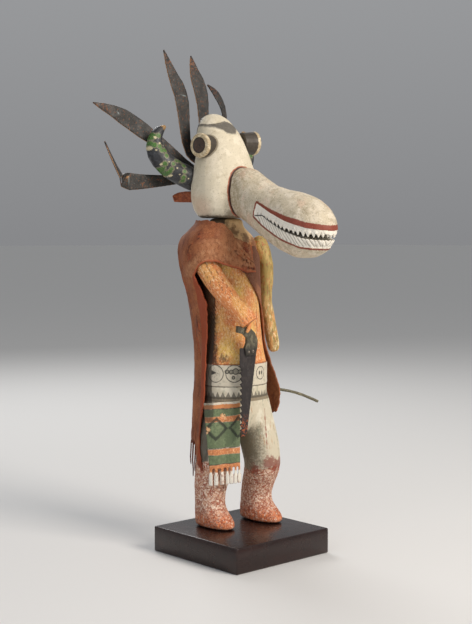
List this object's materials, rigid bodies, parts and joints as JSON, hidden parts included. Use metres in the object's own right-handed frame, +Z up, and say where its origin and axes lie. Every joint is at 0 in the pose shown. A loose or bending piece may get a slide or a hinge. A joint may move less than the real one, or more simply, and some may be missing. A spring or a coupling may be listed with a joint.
{
  "type": "kachina doll",
  "caption": "Carved and painted standing doll with a long-mouthed animal mask, upright cut blades, a hide wrap and a small saw, on a square dark display base.",
  "frame": {"origin": "centre of the display base's underside", "axes": "+Z up along the doll's height; the doll faces -Y and its right hand is at -X; the base's sides run along X and Y"},
  "size_m": [0.2265, 0.2163, 0.51],
  "materials": {
    "base_lacquer": "dark brown satin lacquer",
    "body_paint": "carved root with worn orange, cream and yellow earth paint",
    "mask_paint": "carved root with cream earth paint, speckled with dirt",
    "snout_paint": "speckled cream earth paint with red-brown lips and white teeth",
    "eye_paint": "dark brown and cream paint",
    "horn_paint": "black paint with worn green bands",
    "blade_paint": "stiff rawhide, painted black, with rust-brown wear and tan cut edges",
    "tab_leather": "red-brown worn leather",
    "arm_paint": "carved root with worn orange and cream earth paint",
    "left_arm_paint": "carved root with olive yellow earth paint",
    "saw_iron": "dark flat blade with a few orange flecks near its tip",
    "handle_wood": "dark olive paint, with small shiny rivets",
    "sash_paint": "green, orange and cream earth paint, chipped",
    "hide": "thin worn brown hide with creases and frayed edges",
    "stick_wood": "weathered dark twig"
  },
  "bodies": {
    "root": {"base": "base_lacquer", "body": "body_paint", "head": "mask_paint", "snout": "snout_paint", "eye_right": "eye_paint", "eye_left": "eye_paint", "horn_right": "horn_paint", "horn_left": "horn_paint", "feather_1": "blade_paint", "feather_2": "blade_paint", "feather_3": "blade_paint", "feather_4": "blade_paint", "feather_5": "blade_paint", "head_tab": "tab_leather", "arm_right": "arm_paint", "arm_left": "left_arm_paint", "saw_blade": "saw_iron", "saw_handle": "handle_wood", "sash": "sash_paint", "cape": "hide", "stick": "stick_wood"}
  },
  "joints": []
}
